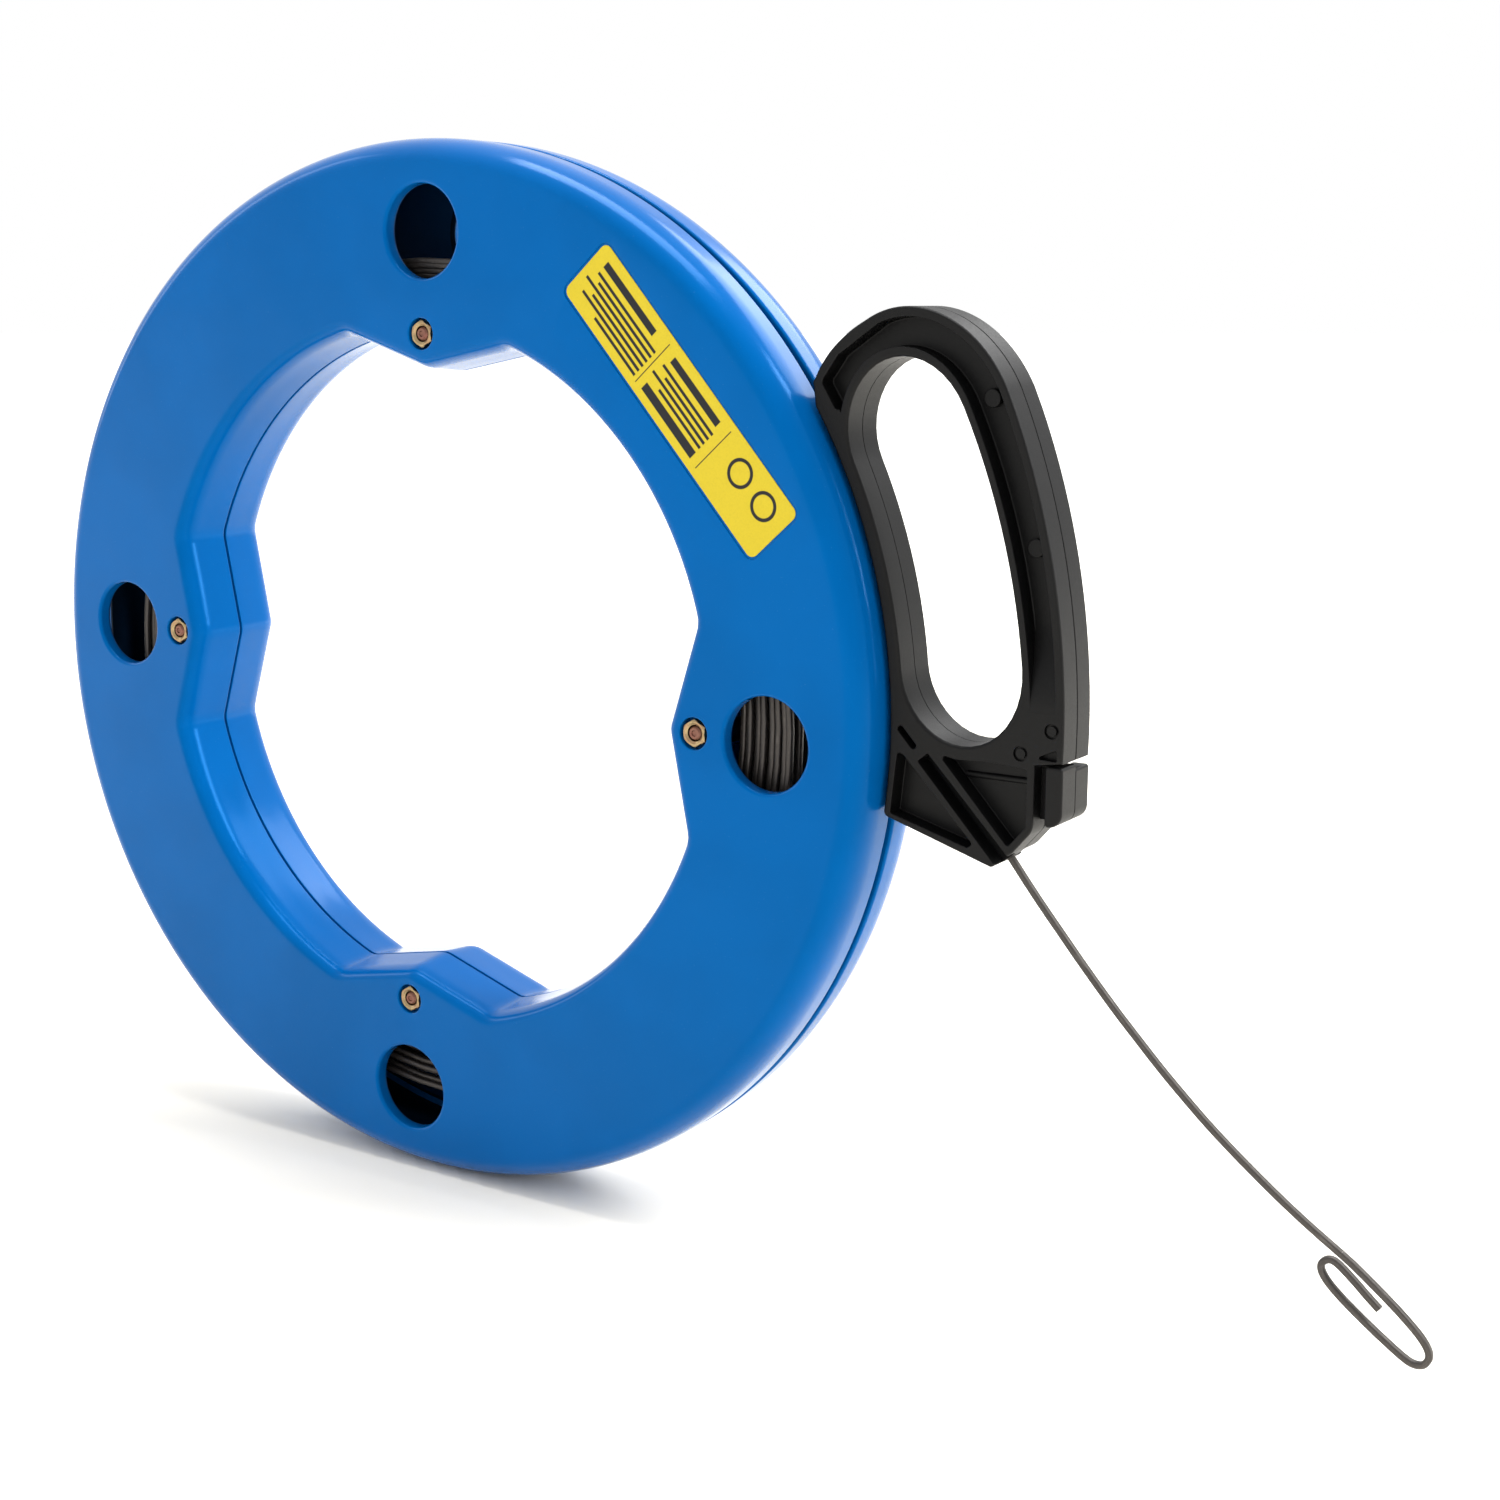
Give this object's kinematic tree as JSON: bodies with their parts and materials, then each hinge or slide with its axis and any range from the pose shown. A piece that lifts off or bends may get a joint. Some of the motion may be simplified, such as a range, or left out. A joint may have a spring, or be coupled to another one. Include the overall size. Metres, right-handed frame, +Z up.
{
  "type": "fish tape reel",
  "caption": "Ring-shaped case of wound steel fish tape that turns on an open hand grip, the tape running out of the grip's nose to a bent eye.",
  "frame": {"origin": "middle of the hand grip, on the plane where the case's shells and the grip's halves meet", "axes": "+Y along the case's axis from the labelled front face to the rear face, +Z up in the plane of the case, +X from the centre of the case towards the grip"},
  "size_m": [0.4592, 0.0344, 0.31],
  "materials": {
    "case_plastic": "glossy moulded blue plastic with a fine surface ripple",
    "grip_plastic": "satin black moulded plastic",
    "zinc_plated_steel": "yellow zinc-plated steel",
    "screw_steel": "dark zinc-plated steel",
    "tape_steel": "oiled spring steel, grey-brown",
    "label_film": null
  },
  "bodies": {
    "handle": {"grip_front_half": "grip_plastic", "grip_rear_half": "grip_plastic", "grip_screw_1": "screw_steel", "grip_screw_2": "screw_steel", "grip_screw_3": "screw_steel", "grip_screw_4": "screw_steel"},
    "case": {"case_front_shell": "case_plastic", "case_rear_shell": "case_plastic", "case_bolt_1": "zinc_plated_steel", "case_bolt_2": "zinc_plated_steel", "case_bolt_3": "zinc_plated_steel", "case_bolt_4": "zinc_plated_steel", "case_nut_1": "zinc_plated_steel", "case_nut_2": "zinc_plated_steel", "case_nut_3": "zinc_plated_steel", "case_nut_4": "zinc_plated_steel", "label": "label_film", "tape_coil": "tape_steel"},
    "tape": {"tape_feed": "tape_steel", "tape_lead": "tape_steel", "tape_eye": "tape_steel"}
  },
  "joints": [
    {"name": "case_spin", "type": "hinge", "parent": "handle", "child": "case", "pos_m": [-0.19375, 0, -0.05349], "axis": [0, 1, 0], "continuous": true},
    {"name": "tape_pay_out", "type": "slide", "parent": "handle", "child": "tape", "axis": [0.6463, 0, -0.7631], "range_m": [0, 0.06]}
  ]
}
